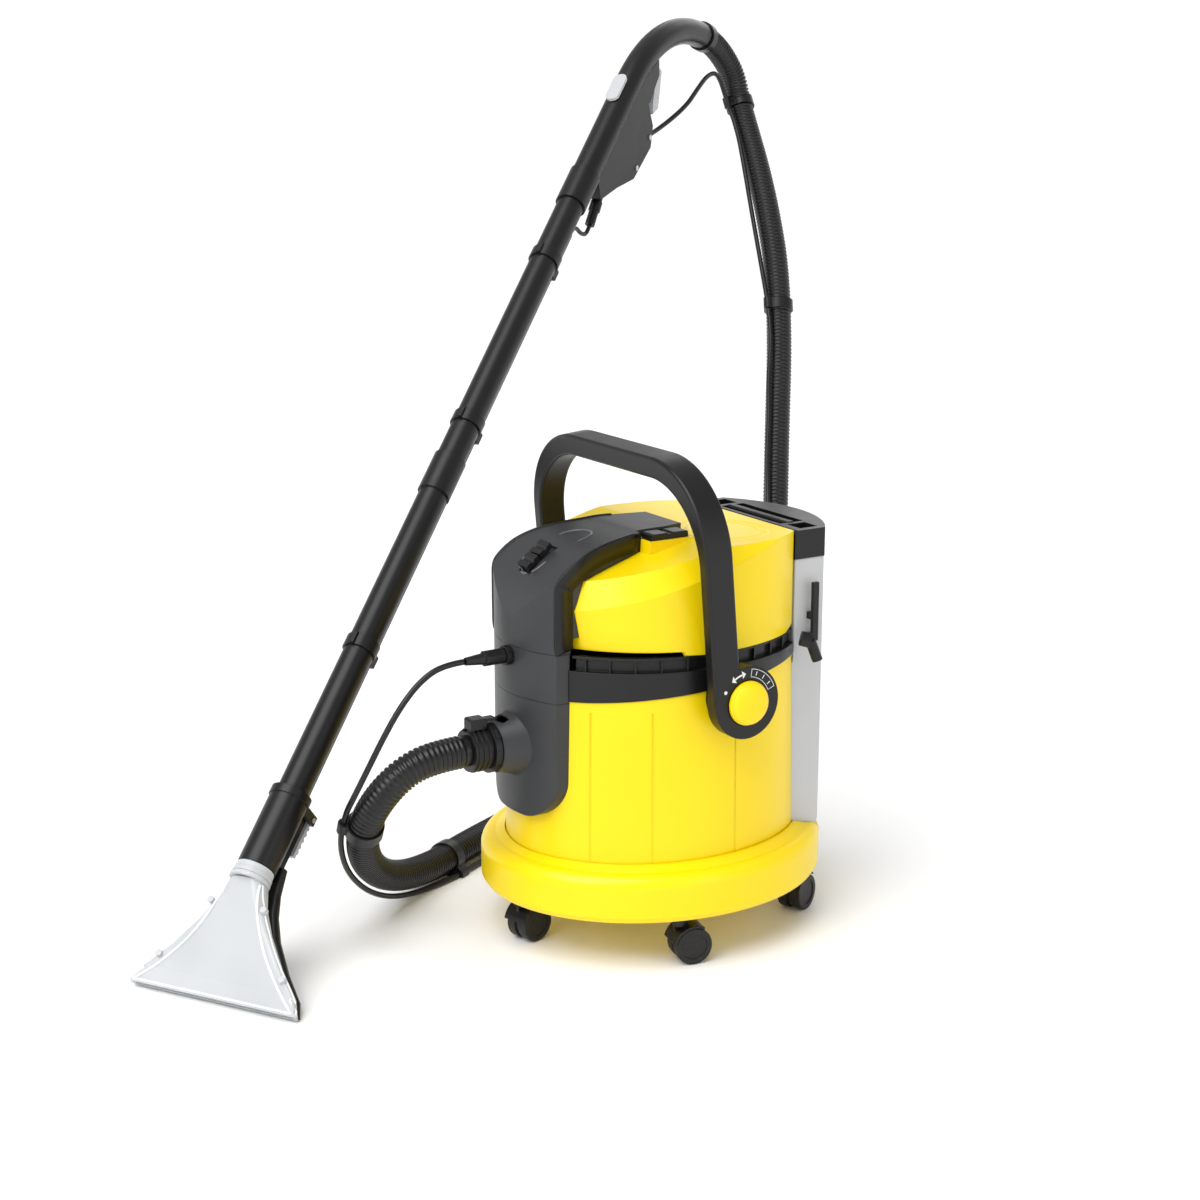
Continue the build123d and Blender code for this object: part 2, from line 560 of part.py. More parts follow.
TUBE_R, TUBE_BORE = TUBE_D / 2, TUBE_D / 2 - 2
HOOD_TOP, CUFF_TOP = 141.0, 254.0
JOINT_LOW, JOINT_HIGH = 700.0, 758.0
GRIP_START, GRIP_BEND = 1215.0, 1465.0
BEND_R, BEND_TURN = 300.0, 53.0


def along(z0, z1, outer, inner=0.0, y=0.0):
    """Round or hollow bar along the wand axis."""
    bar = Pos(0, y, (z0 + z1) / 2) * Cylinder(outer, z1 - z0)
    if inner:
        bar -= Pos(0, y, (z0 + z1) / 2) * Cylinder(inner, z1 - z0 + 2)
    return bar


def flared(rows):
    """Loft through rounded slots given as (width, depth, middle y, z)."""
    sections = []
    for width, depth, y, z in rows:
        sections.append(Plane.XY.offset(z) * Pos(0, y) * RectangleRounded(width, depth, 0.45 * depth))
    return loft(sections, ruled=True)


HOOD_ROWS = ((NOZZLE_W, 11, -31.5, 1.2), (206, 13, -29, 22), (150, 16, -22, 50), (96, 21, -13, 84),
             (62, 28, -6, 112), (46, 34, -1, 134))


def make_nozzle_hood():
    outer = flared(HOOD_ROWS)
    inner = flared([(w - 5, d - 5, y, z + (-2 if z < 5 else 2 if z > 130 else 0)) for w, d, y, z in HOOD_ROWS])
    hood = outer - inner
    for k in range(3):
        collar = Pos(0, 1, 136 + 6 * k) * Cylinder(24.5 - 0.6 * k, 4.4)
        hood += collar - Pos(0, 1, 136 + 6 * k) * Cylinder(20, 8)
    hood += along(134, 152, 23, 20, 1)
    for x, y, z in PEG_PLACES:
        hood -= peg(x, y, z, 4.05, 9)
    return hood


def make_nozzle_body():
    back = flared(((NOZZLE_W - 4, 4.5, -39.5, 5), (204, 9, -41.5, 24), (150, 14, -39, 52), (98, 16, -34, 86),
                   (66, 15, -33, 114), (48, 12, -32, 140), (40, 12, -28, 170)))
    body = back - along(100, 153, 25.6)
    body += along(153, CUFF_TOP, 23.5) + along(CUFF_TOP - 10, CUFF_TOP, 25)
    body += block(-7, 7, -40, -22, 160, CUFF_TOP)
    body += block(-9, 9, -52, -30, 146, 154)
    body -= along(150, 260, TUBE_R + 0.05)
    for side in (-1, 1):
        body += block(min(side * 8.6, side * 13), max(side * 8.6, side * 13), -50, -20, 240, 252)
    body -= rod((-14.5, -45, 246), (14.5, -45, 246), 3 + FIT)
    return body - spray_tip_form(0.05) - along(0, 140, 4.6, 0, -44)


PEG_PLACES = ((-36, 2, 104), (36, 2, 104), (-84, -18, 36), (84, -18, 36))


def peg(x, y, z, radius, height):
    return Pos(x, y, z) * Rot(90, 0, 0) * Cylinder(radius, height)


def make_nozzle_pegs():
    return [peg(x, y, z, 4, 7) for x, y, z in PEG_PLACES]


def make_nozzle_lever():
    lever = block(-8, 8, -50, -44.5, 196, 250)
    for k in range(6):
        lever += rod((-8, -50, 204 + 8 * k), (8, -50, 204 + 8 * k), 2.2)
    return lever + rod((-14, -45, 246), (14, -45, 246), 3)


def spray_tip_form(grow=0.0):
    return Pos(0, -50, 84) * Rot(24, 0, 0) * Cylinder(6 + grow, 22 + grow)


def make_spray_tip():
    return spray_tip_form() + Pos(0, -55.5, 71) * Rot(24, 0, 0) * Cone(3, 5, 8)


def make_lower_tube():
    """Tube with a widened socket at the top that takes the next tube."""
    tube = along(CUFF_TOP - 30, JOINT_HIGH - 30, TUBE_R, TUBE_BORE)
    tube += along(JOINT_LOW, JOINT_HIGH, SOCKET_D / 2, TUBE_R - 0.5)
    return tube - along(JOINT_HIGH - 28, JOINT_HIGH + 2, TUBE_R + 0.05)


def make_upper_tube():
    return along(JOINT_HIGH - 27, GRIP_START + 32, TUBE_R, TUBE_BORE)


CLIP_PLACES = (455, 812, 1105)
PIPE_Y = -28.0                 # spray pipe along the lower face of the tubes
PIPE_TOP = 1186.0


def make_tube_clips():
    clips = []
    for z in CLIP_PLACES:
        ring = along(z, z + 16, TUBE_R + 2.6, TUBE_R + 0.15)
        ear = block(-6.5, 6.5, PIPE_Y - 6, -TUBE_R - 1, z, z + 16) - along(z - 1, z + 17, TUBE_R + 0.15)
        lug = block(-3, 3, TUBE_R + 1, TUBE_R + 6, z, z + 16)
        clips.append(ring + ear + lug - along(z - 1, z + 17, 4.1, 0, PIPE_Y))
    return clips


def make_spray_pipes():
    return [along(CUFF_TOP + 0.2, 742, 4, 2.4, PIPE_Y), along(746, PIPE_TOP, 4, 2.4, PIPE_Y)]


def bend(outer, inner):
    """Curved end of the grip pipe, bending towards the lower face."""
    centre = Axis((0, -BEND_R, GRIP_BEND), (1, 0, 0))
    ring = Plane.XY.offset(GRIP_BEND) * (Circle(outer) - Circle(inner))
    return revolve(ring, centre, BEND_TURN)


def make_grip_pipe():
    pipe_solid = along(GRIP_START, GRIP_BEND, TUBE_R + 0.6, TUBE_BORE)
    pipe_solid += along(GRIP_START, GRIP_START + 60, SOCKET_D / 2 + 0.5, TUBE_BORE)
    pipe_solid -= along(GRIP_START - 1, GRIP_START + 33, TUBE_R + 0.05)
    return pipe_solid + bend(TUBE_R + 0.6, TUBE_BORE)


def bend_frame():
    """Frame on the end face of the bend, z out of the pipe."""
    angle = math.radians(BEND_TURN)
    y = -BEND_R + BEND_R * math.cos(angle)
    z = GRIP_BEND + BEND_R * math.sin(angle)
    return Pos(0, y, z) * Rot(BEND_TURN, 0, 0)


def make_hose_sleeve():
    sleeve = Pos(0, 0, 8.2) * (Cylinder(HOSE_D / 2 + 3, 16) - Cylinder(HOSE_D / 2 + 0.25, 20))
    return bend_frame() * sleeve


INLET_ROOT, INLET_TIP = (0, -88, 1440), (0, -101.5, 1464)   # where the spray hose comes in


def make_valve_housing():
    outline = Polyline((-10, 1285), (-42, 1270), (-66, 1318), (-96, 1368), (-102, 1440), (-84, 1466),
                       (-52, 1474), (-44, 1530), (-22, 1548), (-10, 1500), close=True)
    plate = extrude(Plane.YZ * make_face(outline), 13, both=True)
    plate = fillet(plate.edges().filter_by(Axis.X), 3)
    plate -= along(GRIP_START - 10, GRIP_BEND, TUBE_R + 0.8)
    plate -= revolve(Plane.XY.offset(GRIP_BEND) * Circle(TUBE_R + 0.8), Axis((0, -BEND_R, GRIP_BEND), (1, 0, 0)), 40)
    slot = Polyline((-34, 1466), (-100, 1468), (-100, 1550), (-40, 1550), (-36, 1510), close=True)
    plate -= extrude(Plane.YZ * make_face(slot), 9, both=True)
    plate += rod(INLET_ROOT, INLET_TIP, 5.5)
    return plate - rod((0, -48, 1302), (0, -62, 1240), 7.05)


def make_valve_screws():
    screws = []
    for y, z in ((-88, 1446), (-90, 1384)):
        screws.append(rod((-13, y, z), (-15, y, z), 4))
    return screws


def make_trigger():
    outline = Polyline((-41, 1544), (-52, 1548), (-84, 1504), (-78, 1484), (-66, 1496), (-44, 1530), close=True)
    lever = extrude(Plane.YZ * make_face(outline), 8, both=True)
    return lever


def make_air_slider():
    pad = Plane.XZ * Pos(0, 1430) * SlotOverall(52, 20, rotation=90)
    return Pos(0, TUBE_R + 5.4, 0) * extrude(pad, 4.4)


def make_valve_fitting():
    fitting = rod((0, -52, 1286), (0, -62, 1240), 7)
    return fitting + rod((0, -54, 1277), (0, -57, 1263), 8.5)


# ---- hoses -----------------------------------------------------------------------------------
SUCTION_ROUTE = [
    (0, -256, 252), (0, -294, 252), (-3, -330, 242), (-14, -356, 216), (-36, -368, 180),
    (-66, -362, 138), (-106, -336, 94), (-150, -294, 56), (-192, -242, 31), (-228, -182, 22),
    (-264, -123, 21.5), (-298, -58, 21.5), (-332, 12, 21.5), (-360, 92, 21.5), (-376, 180, 22),
    (-384, 268, 32), (-391, 346, 66), (-402, 412, 124), (-420, 466, 204), (-446, 512, 298),
    (-485, 541, 391), (-524, 570, 490), (-565, 602, 604), (-611, 628, 716), (-658, 642, 800),
    (-701, 653, 864), (-740, 660, 918), (-771, 664, 966), (-775, 656, 1006), (-769, 629, 1038),
    (-755, 597, 1058), (-734.1, 564.2, 1066.1)]

SPRAY_ROUTE = [
    (0, -256, 359), (0, -284, 359), (0, -312, 346), (0, -338, 320), (-2, -360, 286), (-6, -380, 248),
    (-20, -391, 214), (-45, -391, 186), (-76, -386, 138), (-112, -359, 82), (-149, -309, 33),
    (-186, -246, 5), (-212, -168, 4.5), (-243, -110, 4.5), (-276, -46, 4.5), (-309, 22, 4.5),
    (-335, 98, 4.5), (-350, 180, 5), (-361, 273, 20), (-366, 346, 69), (-384, 400, 138),
    (-406, 449, 217), (-435, 492, 310), (-476, 519, 400), (-498, 532, 451), (-516, 548, 500),
    (-539, 562, 556), (-557, 580, 613), (-584, 592, 665), (-615, 601, 719), (-662, 614, 802),
    (-702, 627, 868), (-735, 636, 924), (-768, 639, 966), (-753, 610, 1011), (-728, 574, 1008),
    (-699, 535, 987), (-670, 494, 961), (-651.9, 432.5, 928.3), (-632.2, 400.9, 920.5)]

LINK_ROUTE = [(0, -62, 1240), (0, -65.4, 1224.4), (0, -52, 1212), (0, -34, 1207), (0, -28, 1198), (0, -28, PIPE_TOP + 0.3)]


def cord_solid(points, diameter, label):
    """Plain tube: straight runs joined by tangent arcs."""
    runs = [Vector(*points[k + 1]) - Vector(*points[k]) for k in range(len(points) - 1)]
    radii = []
    for a, b in zip(runs, runs[1:]):
        half_turn = math.radians(a.get_angle(b)) / 2
        radii.append(0.45 * min(a.length, b.length) / math.tan(half_turn))
    path = FilletPolyline(*points, radius=radii)
    tube = sweep(Plane(origin=points[0], z_dir=runs[0]) * Circle(diameter / 2), path=path)
    section = math.pi * diameter ** 2 / 4
    print(label, "length", round(path.length), "smallest radius", round(min(radii)),
          "volume over section x length", round(tube.volume / (section * path.length), 4))
    return tube


# where the clips sit: a point of the suction route and the share of the run behind it
HOSE_CLIPS = ((4, 0.4), (9, 0.4), (14, 0.5), (18, 0.5), (22, 0.5), (26, 0.9))


def nearest_on_route(point, points):
    """Closest point of a route to a given place."""
    best = None
    for start, stop in zip(points, points[1:]):
        a, b = Vector(*start), Vector(*stop)
        share = max(0.0, min(1.0, (point - a).dot(b - a) / (b - a).length ** 2))
        place = a + (b - a) * share
        if best is None or (place - point).length < (best - point).length:
            best = place
    return best


def make_hose_clips(suction, spray):
    """Clips that ring the suction hose, each with an eye for the spray hose."""
    clips = []
    for index, share in HOSE_CLIPS:
        a, b = Vector(*SUCTION_ROUTE[index]), Vector(*SUCTION_ROUTE[index + 1])
        middle = a + (b - a) * share
        side = nearest_on_route(middle, SPRAY_ROUTE) - middle
        across = side - (b - a) * (side.dot(b - a) / (b - a).length ** 2)
        plane = Plane(origin=middle, x_dir=across, z_dir=b - a)
        reach = across.length
        clip = extrude(plane * Circle(HOSE_D / 2 + 3), 8, both=True)
        clip += extrude(plane * Pos(reach, 0) * Circle(SPRAY_D / 2 + 3), 8, both=True)
        clip += extrude(plane * Pos(reach / 2, 0) * Rectangle(reach, 13), 8, both=True)
        clips.append(clip - suction - spray - block(-900, 900, -900, 900, -40, 0.3))
    return clips


# ---- all nodes -------------------------------------------------------------------------------
save("base_ring", make_base_ring())
save("container", make_container())
save("lower_front_panel", make_lower_panel())
save("middle_front_panel", make_middle_panel())
save("suction_port", make_port())
save("hose_cuff", make_hose_cuff())
save("cuff_latch", make_cuff_latch())
save("spray_socket", make_spray_socket())
save("spray_plug", make_spray_plug())
for (number, cx, cy, _), aim in zip(caster_places(), CASTER_AIM):
    save(f"caster_housing_{number}", make_caster_housing(cx, cy, aim))
    save(f"caster_wheels_{number}", *make_caster_wheels(cx, cy, aim))
save("head_ring", make_head_ring())
save("lid", make_lid())
save("top_panel", make_top_panel())
save("vacuum_rocker", make_rocker(10.5))
save("pump_rocker", make_rocker(-10.5))
save("main_switch", make_main_switch())
save("motor_housing", make_motor_housing())
save("motor", make_motor())
save("impeller", make_impeller())
save("float_cage", make_float_cage())
save("float", make_float())
save("spray_pump", make_spray_pump())
save("bail", make_bail())
save("bail_knobs", *make_knobs())
save("water_tank", make_tank())
save("tank_cap", make_tank_cap())
save("tank_grip", make_tank_grip())
save("intake_tube", make_intake_tube())
save("cable_hook", make_cable_hook())
save("cable_gland", make_cable_gland())
save("nozzle_body", WAND * make_nozzle_body())
save("nozzle_hood", WAND * make_nozzle_hood())
save("nozzle_pegs", *[WAND * peg for peg in make_nozzle_pegs()])
save("nozzle_lever", WAND * make_nozzle_lever())
save("spray_tip", WAND * make_spray_tip())
save("lower_tube", WAND * make_lower_tube())
save("upper_tube", WAND * make_upper_tube())
save("tube_clips", *[WAND * clip for clip in make_tube_clips()])
save("spray_pipes", *[WAND * pipe_solid for pipe_solid in make_spray_pipes()])
save("grip_pipe", WAND * make_grip_pipe())
save("hose_sleeve", WAND * make_hose_sleeve())
save("valve_housing", WAND * make_valve_housing())
save("valve_screws", *[WAND * screw for screw in make_valve_screws()])
save("trigger", WAND * make_trigger())
save("air_slider", WAND * make_air_slider())
save("valve_fitting", WAND * make_valve_fitting())
save("suction_hose", cord_solid(SUCTION_ROUTE, HOSE_D, "suction hose"))
save("spray_hose", cord_solid(SPRAY_ROUTE, SPRAY_D, "spray hose"))
save("link_hose", WAND * cord_solid(LINK_ROUTE, SPRAY_D - 1, "link hose"))
save("hose_clips", *make_hose_clips(cord_solid(SUCTION_ROUTE, HOSE_D + 0.6, "clip bore"),
                                    cord_solid(SPRAY_ROUTE, SPRAY_D + 0.6, "clip eye")))
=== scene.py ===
"""Looks of a spray-extraction carpet cleaner with its suction hose and floor wand."""
import json
import math

import bpy
from mathutils import Matrix, Vector
from mathutils.bvhtree import BVHTree


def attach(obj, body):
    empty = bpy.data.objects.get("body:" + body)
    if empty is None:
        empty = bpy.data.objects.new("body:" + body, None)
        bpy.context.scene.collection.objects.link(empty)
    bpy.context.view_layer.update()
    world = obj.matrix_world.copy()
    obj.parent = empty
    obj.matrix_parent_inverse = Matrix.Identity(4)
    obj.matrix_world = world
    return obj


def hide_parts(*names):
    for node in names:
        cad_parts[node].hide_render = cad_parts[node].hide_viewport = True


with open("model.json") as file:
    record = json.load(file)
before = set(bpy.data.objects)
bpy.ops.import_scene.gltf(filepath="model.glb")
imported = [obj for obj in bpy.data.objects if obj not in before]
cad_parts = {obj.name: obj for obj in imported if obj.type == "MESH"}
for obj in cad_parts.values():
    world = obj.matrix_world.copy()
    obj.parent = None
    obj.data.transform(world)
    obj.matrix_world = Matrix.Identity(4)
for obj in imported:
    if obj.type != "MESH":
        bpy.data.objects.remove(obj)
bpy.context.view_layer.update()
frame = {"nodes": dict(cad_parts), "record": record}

NODES = frame["nodes"]


# ---- camera -----------------------------------------------------------------------------
def add_camera():
    azimuth, elevation, distance = math.radians(58.22), math.radians(14.13), 2.5396
    back = Vector((math.sin(azimuth) * math.cos(elevation), -math.cos(azimuth) * math.cos(elevation),
                   math.sin(elevation)))
    right = Vector((math.cos(azimuth), math.sin(azimuth), 0))
    target = Vector((0, 0, 0.3979)) - right * 0.06322
    data = bpy.data.cameras.new("camera")
    data.lens = 63.4
    data.sensor_width = 36
    data.clip_end = 50
    camera = bpy.data.objects.new("camera", data)
    bpy.context.scene.collection.objects.link(camera)
    camera.location = target + back * distance
    up = back.cross(right)
    turn = Matrix((right, up, back)).transposed()
    camera.rotation_euler = turn.to_euler()
    bpy.context.scene.camera = camera


add_camera()

# ---- cords: the routes, in metres ---------------------------------------------------------
SUCTION_ROUTE = [
    (0, -0.256, 0.252), (0, -0.294, 0.252), (-0.003, -0.33, 0.242), (-0.014, -0.356, 0.216),
    (-0.036, -0.368, 0.18), (-0.066, -0.362, 0.138), (-0.106, -0.336, 0.094), (-0.15, -0.294, 0.056),
    (-0.192, -0.242, 0.031), (-0.228, -0.182, 0.022), (-0.264, -0.123, 0.0215), (-0.298, -0.058, 0.0215),
    (-0.332, 0.012, 0.0215), (-0.36, 0.092, 0.0215), (-0.376, 0.18, 0.022), (-0.384, 0.268, 0.032),
    (-0.391, 0.346, 0.066), (-0.402, 0.412, 0.124), (-0.42, 0.466, 0.204), (-0.446, 0.512, 0.298),
    (-0.485, 0.541, 0.391), (-0.524, 0.57, 0.49), (-0.565, 0.602, 0.604), (-0.611, 0.628, 0.716),
    (-0.658, 0.642, 0.8), (-0.701, 0.653, 0.864), (-0.74, 0.66, 0.918), (-0.771, 0.664, 0.966),
    (-0.775, 0.656, 1.006), (-0.769, 0.629, 1.038), (-0.755, 0.597, 1.058), (-0.7341, 0.5642, 1.0661),
]
SPRAY_ROUTE = [
    (0, -0.256, 0.359), (0, -0.284, 0.359), (0, -0.312, 0.346), (0, -0.338, 0.32), (-0.002, -0.36, 0.286),
    (-0.006, -0.38, 0.248), (-0.02, -0.391, 0.214), (-0.045, -0.391, 0.186), (-0.076, -0.386, 0.138),
    (-0.112, -0.359, 0.082), (-0.149, -0.309, 0.033), (-0.186, -0.246, 0.005), (-0.212, -0.168, 0.0045),
    (-0.243, -0.11, 0.0045), (-0.276, -0.046, 0.0045), (-0.309, 0.022, 0.0045), (-0.335, 0.098, 0.0045),
    (-0.35, 0.18, 0.005), (-0.361, 0.273, 0.02), (-0.366, 0.346, 0.069), (-0.384, 0.4, 0.138),
    (-0.406, 0.449, 0.217), (-0.435, 0.492, 0.31), (-0.476, 0.519, 0.4), (-0.498, 0.532, 0.451),
    (-0.516, 0.548, 0.5), (-0.539, 0.562, 0.556), (-0.557, 0.58, 0.613), (-0.584, 0.592, 0.665),
    (-0.615, 0.601, 0.719), (-0.662, 0.614, 0.802), (-0.702, 0.627, 0.868), (-0.735, 0.636, 0.924),
    (-0.768, 0.639, 0.966), (-0.753, 0.61, 1.011), (-0.728, 0.574, 1.008), (-0.699, 0.535, 0.987),
    (-0.67, 0.494, 0.961), (-0.6519, 0.4325, 0.9283), (-0.6322, 0.4009, 0.9205),
]
HOSE_D, SPRAY_D, LINK_D = 0.039, 0.007, 0.006

WAND_TURN, WAND_LEAN = math.radians(32), math.radians(41.4)
ACROSS = Vector((math.cos(WAND_TURN), math.sin(WAND_TURN), 0))
AWAY = Vector((-math.sin(WAND_TURN), math.cos(WAND_TURN), 0))
AXIS = AWAY * math.cos(WAND_LEAN) + Vector((0, 0, math.sin(WAND_LEAN)))
UPPER = AWAY * -math.sin(WAND_LEAN) + Vector((0, 0, math.cos(WAND_LEAN)))
LIP = Vector((-0.028, -0.566, 0)) + UPPER * 0.038


def wand(x, y, z):
    """A point of the wand frame, given in mm: x across, y to the upper face, z up the tube."""
    return LIP - ACROSS * (x / 1000) + UPPER * (y / 1000) + AXIS * (z / 1000)


LINK_ROUTE = [wand(0, y, z) for y, z in ((-62, 1240), (-65.4, 1224.4), (-52, 1212), (-34, 1207), (-28, 1198),
                                         (-28, 1186.3))]


def nurbs(name, points):
    """Open NURBS curve with these control points."""
    data = bpy.data.curves.new(name, "CURVE")
    data.dimensions = "3D"
    spline = data.splines.new("NURBS")
    spline.points.add(len(points) - 1)
    for place, point in zip(spline.points, points):
        place.co = (*point, 1)
    spline.order_u = 3
    spline.use_endpoint_u = True
    spline.resolution_u = 12
    obj = bpy.data.objects.new(name, data)
    bpy.context.scene.collection.objects.link(obj)
    return obj


def centre_line(points, step):
    """Evenly spaced points and directions along the smooth line of a route."""
    guide = nurbs("guide", points)
    mesh = bpy.data.meshes.new_from_object(guide)
    line = [v.co.copy() for v in mesh.vertices]
    bpy.data.objects.remove(guide)
    bpy.data.meshes.remove(mesh)
    lengths = [0.0]
    for a, b in zip(line, line[1:]):
        lengths.append(lengths[-1] + (b - a).length)
    count = max(2, round(lengths[-1] / step))
    places, at = [], 0
    for k in range(count + 1):
        want = lengths[-1] * k / count
        while at < len(line) - 2 and lengths[at + 1] < want:
            at += 1
        share = (want - lengths[at]) / max(lengths[at + 1] - lengths[at], 1e-9)
        places.append(line[at].lerp(line[at + 1], min(1.0, share)))
    return line, places, lengths[-1]


def frames_along(places):
    """Directions and steady side vectors, carried along without twisting."""
    directions = []
    for k in range(len(places)):
        a, b = places[max(0, k - 1)], places[min(len(places) - 1, k + 1)]
        directions.append((b - a).normalized())
    side = directions[0].orthogonal().normalized()
    sides = []
    for d in directions:
        side = (side - d * side.dot(d)).normalized()
        sides.append(side)
    return directions, sides


def mesh_object(name, vertices, faces, smooth=True):
    mesh = bpy.data.meshes.new(name)
    mesh.from_pydata([tuple(v) for v in vertices], [], faces)
    mesh.validate()
    if smooth:
        mesh.polygons.foreach_set("use_smooth", [True] * len(mesh.polygons))
    obj = bpy.data.objects.new(name, mesh)
    bpy.context.scene.collection.objects.link(obj)
    return obj


def skin(name, places, radii, around=24, smooth=True):
    """Closed round tube through places with the given radii."""
    directions, sides = frames_along(places)
    vertices, faces = [], []
    for place, direction, side, radius in zip(places, directions, sides, radii):
        other = direction.cross(side)
        for j in range(around):
            angle = 2 * math.pi * j / around
            vertices.append(place + (side * math.cos(angle) + other * math.sin(angle)) * radius)
    for k in range(len(places) - 1):
        for j in range(around):
            i = (j + 1) % around
            faces.append((k * around + j, k * around + i, (k + 1) * around + i, (k + 1) * around + j))
    faces.append(tuple(reversed(range(around))))
    faces.append(tuple(range((len(places) - 1) * around, len(places) * around)))
    return mesh_object(name, vertices, faces, smooth)


def corrugated(name, route, diameter, pitch):
    """Hose wall with rounded ribs every pitch; returns the object, its line and its length."""
    line, places, length = centre_line(route, pitch / 4)
    profile = (1.0, 0.975, 0.87, 0.975)
    radii = []
    for k in range(len(places)):
        ends = min(k, len(places) - 1 - k)
        share = profile[k % 4] if ends > 6 else 0.93
        radii.append(diameter / 2 * share)
    return skin(name, places, radii), line, length


suction, suction_line, suction_length = corrugated("suction_hose_ribbed", SUCTION_ROUTE, HOSE_D, 0.0058)
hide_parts("suction_hose")
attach(suction, "container")

def plain_hose(name, node, route, diameter, step):
    """Smooth round hose along a route, in place of the hidden CAD node."""
    line, places, length = centre_line(route, step)
    hose = skin(name, places, [diameter / 2] * len(places))
    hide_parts(node)
    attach(hose, "container")
    return hose


spray = plain_hose("spray_hose_line", "spray_hose", SPRAY_ROUTE, SPRAY_D, 0.004)
link = plain_hose("link_hose_line", "link_hose", LINK_ROUTE, LINK_D, 0.0015)


# ---- materials ----------------------------------------------------------------------------
class Nodes:
    """Short way to build one material's node tree."""

    def __init__(self, name):
        self.material = bpy.data.materials.new(name)
        self.material.use_nodes = True
        self.tree = self.material.node_tree
        self.shader = self.tree.nodes["Principled BSDF"]
        self.place = self.add("ShaderNodeTexCoord").outputs["Object"]

    def add(self, kind, **settings):
        node = self.tree.nodes.new(kind)
        for key, value in settings.items():
            if hasattr(node, key):
                setattr(node, key, value)
            else:
                node.inputs[key.replace("_", " ").capitalize()].default_value = value
        return node

    def link(self, output, target):
        self.tree.links.new(output, target)

    def noise(self, scale, detail=2.0, roughness=0.5):
        node = self.add("ShaderNodeTexNoise", scale=scale, detail=detail, roughness=roughness)
        self.link(self.place, node.inputs["Vector"])
        return node.outputs["Fac"]

    def ramp(self, factor, low, high, start=0.3, stop=0.7):
        node = self.add("ShaderNodeValToRGB")
        first, last = node.color_ramp.elements
        first.position, last.position = start, stop
        first.color, last.color = (*low, 1), (*high, 1)
        self.link(factor, node.inputs["Fac"])
        return node.outputs["Color"]

    def span(self, factor, low, high):
        node = self.add("ShaderNodeMapRange")
        node.inputs["To Min"].default_value = low
        node.inputs["To Max"].default_value = high
        self.link(factor, node.inputs["Value"])
        return node.outputs["Result"]

    def relief(self, factor, strength, distance, edge=0.0):
        """Surface relief, over softly rounded edges."""
        bump = self.add("ShaderNodeBump")
        bump.inputs["Strength"].default_value = strength
        bump.inputs["Distance"].default_value = distance
        self.link(factor, bump.inputs["Height"])
        if edge:
            bevel = self.add("ShaderNodeBevel", samples=4)
            bevel.inputs["Radius"].default_value = edge
            self.link(bevel.outputs["Normal"], bump.inputs["Normal"])
        self.link(bump.outputs["Normal"], self.shader.inputs["Normal"])


def tint(colour, factor):
    return tuple(min(1.0, c * factor) for c in colour)


def plastic(name, colour, roughness, grain=1400.0, depth=0.00004, edge=0.0012, spread=0.08, dust=0.0, gloss=0.5):
    """Moulded plastic: fine spark-eroded grain, slow colour drift and a little dust in scattered specks."""
    m = Nodes(name)
    drift = m.noise(6.0, 4.0)
    colour_out = m.ramp(drift, tint(colour, 1 - spread), tint(colour, 1 + spread))
    if dust:
        specks = m.noise(220.0, 6.0, 0.7)
        mask = m.ramp(specks, (0, 0, 0), (dust, dust, dust), 0.56, 0.74)
        mix = m.add("ShaderNodeMix", data_type="RGBA")
        m.link(mask, mix.inputs["Factor"])
        m.link(colour_out, mix.inputs["A"])
        mix.inputs["B"].default_value = (0.35, 0.34, 0.32, 1)
        colour_out = mix.outputs["Result"]
    m.link(colour_out, m.shader.inputs["Base Color"])
    m.link(m.span(m.noise(35.0, 5.0, 0.6), roughness - 0.05, roughness + 0.07), m.shader.inputs["Roughness"])
    m.shader.inputs["Specular IOR Level"].default_value = gloss
    m.relief(m.noise(grain, 2.0), 0.35, depth, edge)
    return m.material


def clear_plastic(name, low, high, transmission):
    """Clear moulding with faint flow marks, milky where light goes through it."""
    m = Nodes(name)
    m.link(m.ramp(m.noise(9.0), low, high), m.shader.inputs["Base Color"])
    m.link(m.span(m.noise(60.0, 5.0), 0.10, 0.22), m.shader.inputs["Roughness"])
    m.shader.inputs["Transmission Weight"].default_value = transmission
    m.shader.inputs["IOR"].default_value = 1.3
    m.relief(m.noise(40.0, 3.0), 0.15, 0.0002)
    return m.material


def frosted_tank():
    """Natural polyethylene: milky, waxy, with blow-moulding ripple."""
    m = Nodes("frosted_tank")
    m.link(m.ramp(m.noise(5.0, 3.0), (0.60, 0.61, 0.62), (0.70, 0.71, 0.72)), m.shader.inputs["Base Color"])
    m.link(m.span(m.noise(50.0, 5.0), 0.30, 0.42), m.shader.inputs["Roughness"])
    m.shader.inputs["Transmission Weight"].default_value = 0.25
    m.shader.inputs["Subsurface Weight"].default_value = 0.25
    m.shader.inputs["Subsurface Radius"].default_value = (0.012, 0.012, 0.012)
    m.relief(m.noise(28.0, 3.0), 0.25, 0.0006, 0.003)
    return m.material


